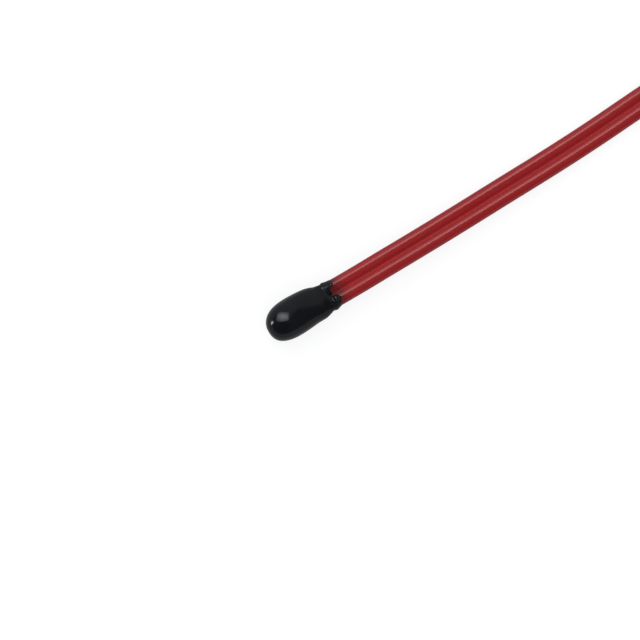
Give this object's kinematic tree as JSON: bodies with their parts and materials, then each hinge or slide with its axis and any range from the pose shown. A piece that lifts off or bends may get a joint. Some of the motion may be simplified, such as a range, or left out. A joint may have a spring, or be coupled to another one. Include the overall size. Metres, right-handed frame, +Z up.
{
  "type": "bead thermistor",
  "caption": "Epoxy-dipped bead with a ceramic temperature-sensing chip inside, on a bonded twin insulated lead with split, stripped and tinned ends.",
  "frame": {"origin": "on the floor, under the middle of the bead, halfway between its nose tip and the mouth where the lead comes out", "axes": "+X along the bead from its nose towards the lead, +Y to the left of the lead as it leaves, +Z up"},
  "size_m": [0.0559, 0.0048, 0.003],
  "materials": {
    "black_epoxy": "glossy dipped epoxy, rougher on the collars",
    "red_insulation": "satin extruded vinyl",
    "tinned_strands": "bright tin over twisted copper strands",
    "chip_ceramic": "sintered, diced edges",
    "silver_film": "fired silver, matt",
    "solder": "smooth reflowed solder"
  },
  "bodies": {
    "root": {"epoxy_bead": "black_epoxy", "twin_jacket": "red_insulation", "conductor_left": "tinned_strands", "conductor_right": "tinned_strands", "thermistor_chip": "chip_ceramic", "chip_electrode_left": "silver_film", "chip_electrode_right": "silver_film", "solder_joint_left": "solder", "solder_joint_right": "solder"}
  },
  "joints": []
}
